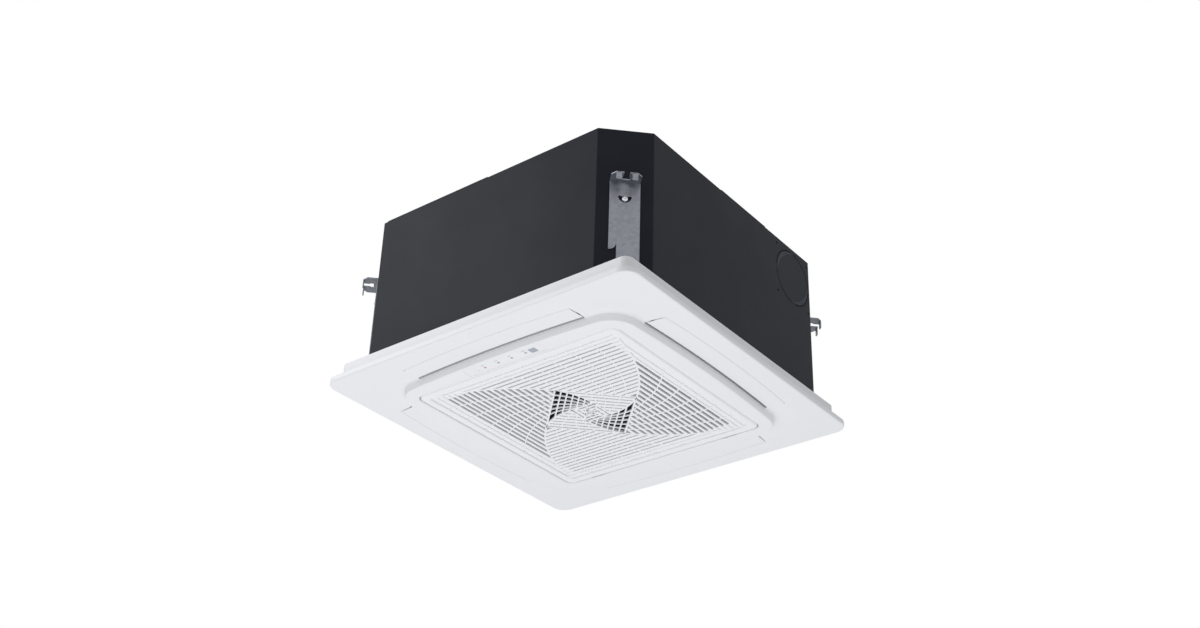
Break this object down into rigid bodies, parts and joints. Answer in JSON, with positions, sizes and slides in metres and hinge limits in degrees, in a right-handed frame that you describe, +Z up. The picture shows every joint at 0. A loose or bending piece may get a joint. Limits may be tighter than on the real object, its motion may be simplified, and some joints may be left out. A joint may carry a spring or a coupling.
{
  "type": "ceiling cassette air conditioner",
  "caption": "Compact ceiling cassette air conditioner: dark chamfered cabinet on a white square panel with four louvred outlets round a hinged spiral intake grille.",
  "frame": {"origin": "centre of the decorative panel's lowest face, where the grille and ring face the room", "axes": "+Z up into the ceiling void, -Y towards the display side, +X towards the knock-out side, -X towards the pipes"},
  "size_m": [0.62, 0.62, 0.3063],
  "materials": {
    "panel_white": "fine moulded white plastic, satin",
    "grille_white": "moulded white plastic, satin",
    "charcoal_sheet": "fine-textured charcoal paint on sheet steel",
    "galvanised": "galvanised sheet, dull",
    "steel": "zinc-plated steel",
    "black_foam": "closed-cell foam sheet",
    "moulded_foam": "expanded polystyrene, beaded",
    "fan_plastic": "light grey moulded plastic",
    "aluminium_fins": "bare aluminium fins",
    "copper": "drawn copper",
    "brass": "machined brass",
    "rubber": "matt black rubber",
    "circuit_board": "green solder mask",
    "tinted_window": "smooth grey infrared window",
    "filter_mesh": "grey woven filter net in a plastic frame"
  },
  "bodies": {
    "unit_body": {"panel_frame": "panel_white", "louvre_motor_1": "galvanised", "hanger_1": "galvanised", "hanger_screw_1": "steel", "panel_bolt_1": "steel", "louvre_motor_2": "galvanised", "hanger_2": "galvanised", "hanger_screw_2": "steel", "panel_bolt_2": "steel", "louvre_motor_3": "galvanised", "hanger_3": "galvanised", "hanger_screw_3": "steel", "panel_bolt_3": "steel", "louvre_motor_4": "galvanised", "hanger_4": "galvanised", "hanger_screw_4": "steel", "panel_bolt_4": "steel", "grille_hinge_pin_1": "steel", "grille_hinge_pin_2": "steel", "display_cover": "panel_white", "display_board": "circuit_board", "receiver_window": "tinted_window", "cabinet_shell": "charcoal_sheet", "top_plate": "charcoal_sheet", "foam_liner": "black_foam", "drain_pan": "moulded_foam", "bell_mouth": "fan_plastic", "fan_motor": "galvanised", "motor_mount_1": "rubber", "motor_mount_2": "rubber", "motor_mount_3": "rubber", "coil": "aluminium_fins", "coil_end_plate_1": "galvanised", "coil_end_plate_2": "galvanised", "gas_pipe": "copper", "liquid_pipe": "copper", "gas_flare_nut": "brass", "liquid_flare_nut": "brass", "pipe_plate": "galvanised", "drain_pump": "fan_plastic", "drain_hose": "rubber", "drain_spout": "fan_plastic", "float_stem": "panel_white", "electric_box": "galvanised", "electric_cover": "galvanised", "main_board": "circuit_board"},
    "louvre_1_body": {"louvre_1": "panel_white"},
    "louvre_2_body": {"louvre_2": "panel_white"},
    "louvre_3_body": {"louvre_3": "panel_white"},
    "louvre_4_body": {"louvre_4": "panel_white"},
    "grille_body": {"intake_grille": "grille_white", "air_filter": "filter_mesh"},
    "latch_1_body": {"grille_latch_1": "panel_white"},
    "latch_2_body": {"grille_latch_2": "panel_white"},
    "fan_body": {"fan_impeller": "fan_plastic", "fan_shaft": "steel", "fan_nut": "steel"},
    "button_body": {"emergency_button": "panel_white"},
    "float_body": {"float": "panel_white"}
  },
  "joints": [
    {"name": "fan_spin", "type": "hinge", "parent": "unit_body", "child": "fan_body", "pos_m": [0, 0, 0.2], "axis": [0, 0, 1], "continuous": true},
    {"name": "louvre_1_hinge", "type": "hinge", "parent": "unit_body", "child": "louvre_1_body", "pos_m": [0, -0.247, 0.0205], "axis": [1, 0, 0], "range_deg": [0, 45]},
    {"name": "louvre_2_hinge", "type": "hinge", "parent": "unit_body", "child": "louvre_2_body", "pos_m": [0.247, 0, 0.0205], "axis": [0, 1, 0], "range_deg": [0, 45]},
    {"name": "louvre_3_hinge", "type": "hinge", "parent": "unit_body", "child": "louvre_3_body", "pos_m": [0, 0.247, 0.0205], "axis": [-1, 0, 0], "range_deg": [0, 45]},
    {"name": "louvre_4_hinge", "type": "hinge", "parent": "unit_body", "child": "louvre_4_body", "pos_m": [-0.247, 0, 0.0205], "axis": [0, -1, 0], "range_deg": [0, 45]},
    {"name": "grille_hinge", "type": "hinge", "parent": "unit_body", "child": "grille_body", "pos_m": [0, 0.194, 0.004], "axis": [1, 0, 0], "range_deg": [0, 90]},
    {"name": "latch_1_slide", "type": "slide", "parent": "grille_body", "child": "latch_1_body", "axis": [0, -1, 0], "range_m": [0, 0.003]},
    {"name": "latch_2_slide", "type": "slide", "parent": "grille_body", "child": "latch_2_body", "axis": [0, -1, 0], "range_m": [0, 0.003]},
    {"name": "button_press", "type": "slide", "parent": "unit_body", "child": "button_body", "axis": [0, 0, 1], "range_m": [0, 0.001], "stiffness_N_per_m": 300, "springref_m": -0.001},
    {"name": "float_slide", "type": "slide", "parent": "unit_body", "child": "float_body", "axis": [0, 0, 1], "range_m": [0, 0.012]}
  ]
}
